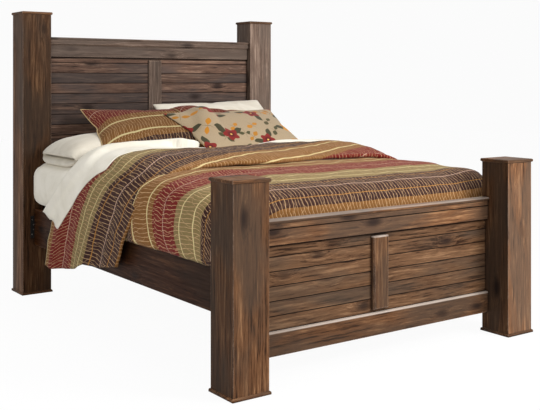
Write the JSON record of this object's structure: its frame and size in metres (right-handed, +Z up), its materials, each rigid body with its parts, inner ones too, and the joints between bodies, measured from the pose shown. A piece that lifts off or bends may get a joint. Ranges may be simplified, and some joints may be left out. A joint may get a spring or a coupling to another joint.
{
  "type": "poster bed",
  "caption": "Rustic plank poster bed with square posts, hook-on side rails and a slatted base, made up with mattress, sheets, striped quilt, pillows and cushions.",
  "frame": {"origin": "centre of the floor area that the bed covers", "axes": "+X across the bed to the right seen from the foot, +Y from the foot to the head, +Z up"},
  "size_m": [1.802, 2.431, 1.671],
  "materials": {
    "rustic_wood": "dark brown rustic grain with knots, satin",
    "back_board": "thin stained board",
    "pale_wood": "plain sawn softwood",
    "black_steel": "black, satin",
    "zinc_screw": "bright zinc",
    "black_plastic": "moulded, matt",
    "ticking": "woven ticking, quilted",
    "white_linen": "plain woven cotton, matt",
    "striped_quilt": "striped, puckered and hand-stitched cotton",
    "printed_cotton": "cream cotton with a printed plant pattern"
  },
  "bodies": {
    "bed_frame": {"head_post_left": "rustic_wood", "head_post_right": "rustic_wood", "head_post_cap_left": "rustic_wood", "head_post_cap_right": "rustic_wood", "head_post_base_left": "rustic_wood", "head_post_base_right": "rustic_wood", "foot_post_left": "rustic_wood", "foot_post_right": "rustic_wood", "foot_post_cap_left": "rustic_wood", "foot_post_cap_right": "rustic_wood", "foot_post_base_left": "rustic_wood", "foot_post_base_right": "rustic_wood", "headboard_crown_cap": "rustic_wood", "headboard_crown_moulding": "rustic_wood", "headboard_frieze_rail": "rustic_wood", "headboard_planks": "rustic_wood", "headboard_mullion": "rustic_wood", "headboard_bottom_rail": "rustic_wood", "footboard_cap_rail": "rustic_wood", "footboard_top_rail": "rustic_wood", "footboard_planks": "rustic_wood", "footboard_mullion": "rustic_wood", "footboard_bottom_rail": "rustic_wood", "side_rail_left": "rustic_wood", "side_rail_right": "rustic_wood", "headboard_back_panel": "back_board", "footboard_back_panel": "back_board", "ledger_left": "pale_wood", "ledger_right": "pale_wood", "slat_1": "pale_wood", "slat_2": "pale_wood", "slat_3": "pale_wood", "slat_4": "pale_wood", "slat_5": "pale_wood", "centre_leg_1": "pale_wood", "centre_leg_2": "pale_wood", "centre_leg_3": "pale_wood", "panel_dowels": "pale_wood", "rail_hook_plates": "black_steel", "post_slot_plates": "black_steel", "rail_hardware_screws": "zinc_screw", "slat_and_ledger_screws": "zinc_screw", "leg_inserts": "zinc_screw"},
    "foundation": {"box_spring": "ticking"},
    "mattress_and_covers": {"mattress": "ticking", "fitted_sheet": "white_linen", "top_sheet": "white_linen", "quilt": "striped_quilt"},
    "sleeping_pillows": {"pillow_left": "white_linen", "pillow_right": "white_linen"},
    "shams": {"sham_left": "striped_quilt", "sham_right": "striped_quilt"},
    "throw_cushion": {"throw_cushion": "printed_cotton"},
    "leveller_pad_1": {"glide_pad_1": "black_plastic"},
    "leveller_stud_1": {"levelling_stud_1": "zinc_screw"},
    "leveller_pad_2": {"glide_pad_2": "black_plastic"},
    "leveller_stud_2": {"levelling_stud_2": "zinc_screw"},
    "leveller_pad_3": {"glide_pad_3": "black_plastic"},
    "leveller_stud_3": {"levelling_stud_3": "zinc_screw"}
  },
  "joints": [
    {"name": "box_spring_lift", "type": "slide", "parent": "bed_frame", "child": "foundation", "axis": [0, 0, 1], "range_m": [0, 0.3]},
    {"name": "mattress_lift", "type": "slide", "parent": "foundation", "child": "mattress_and_covers", "axis": [0, 0, 1], "range_m": [0, 0.3]},
    {"name": "pillows_lift", "type": "slide", "parent": "mattress_and_covers", "child": "sleeping_pillows", "axis": [0, 0, 1], "range_m": [0, 0.25]},
    {"name": "shams_lift", "type": "slide", "parent": "sleeping_pillows", "child": "shams", "axis": [0, 0, 1], "range_m": [0, 0.25]},
    {"name": "cushion_lift", "type": "slide", "parent": "shams", "child": "throw_cushion", "axis": [0, 0, 1], "range_m": [0, 0.25]},
    {"name": "leveller_travel_1", "type": "slide", "parent": "bed_frame", "child": "leveller_pad_1", "axis": [0, 0, 1], "range_m": [-0.005, 0.005]},
    {"name": "leveller_turn_1", "type": "hinge", "parent": "leveller_pad_1", "child": "leveller_stud_1", "pos_m": [0, -0.45575, 0.02], "axis": [0, 0, 1], "range_deg": [-1441, 1441]},
    {"name": "leveller_travel_2", "type": "slide", "parent": "bed_frame", "child": "leveller_pad_2", "axis": [0, 0, 1], "range_m": [-0.005, 0.005]},
    {"name": "leveller_turn_2", "type": "hinge", "parent": "leveller_pad_2", "child": "leveller_stud_2", "pos_m": [0, 0, 0.02], "axis": [0, 0, 1], "range_deg": [-1441, 1441]},
    {"name": "leveller_travel_3", "type": "slide", "parent": "bed_frame", "child": "leveller_pad_3", "axis": [0, 0, 1], "range_m": [-0.005, 0.005]},
    {"name": "leveller_turn_3", "type": "hinge", "parent": "leveller_pad_3", "child": "leveller_stud_3", "pos_m": [0, 0.45575, 0.02], "axis": [0, 0, 1], "range_deg": [-1441, 1441]}
  ],
  "couplings": [
    {"joint": "leveller_turn_1", "follows": "leveller_travel_1", "rad_per_m": 5026.5},
    {"joint": "leveller_turn_2", "follows": "leveller_travel_2", "rad_per_m": 5026.5},
    {"joint": "leveller_turn_3", "follows": "leveller_travel_3", "rad_per_m": 5026.5}
  ]
}
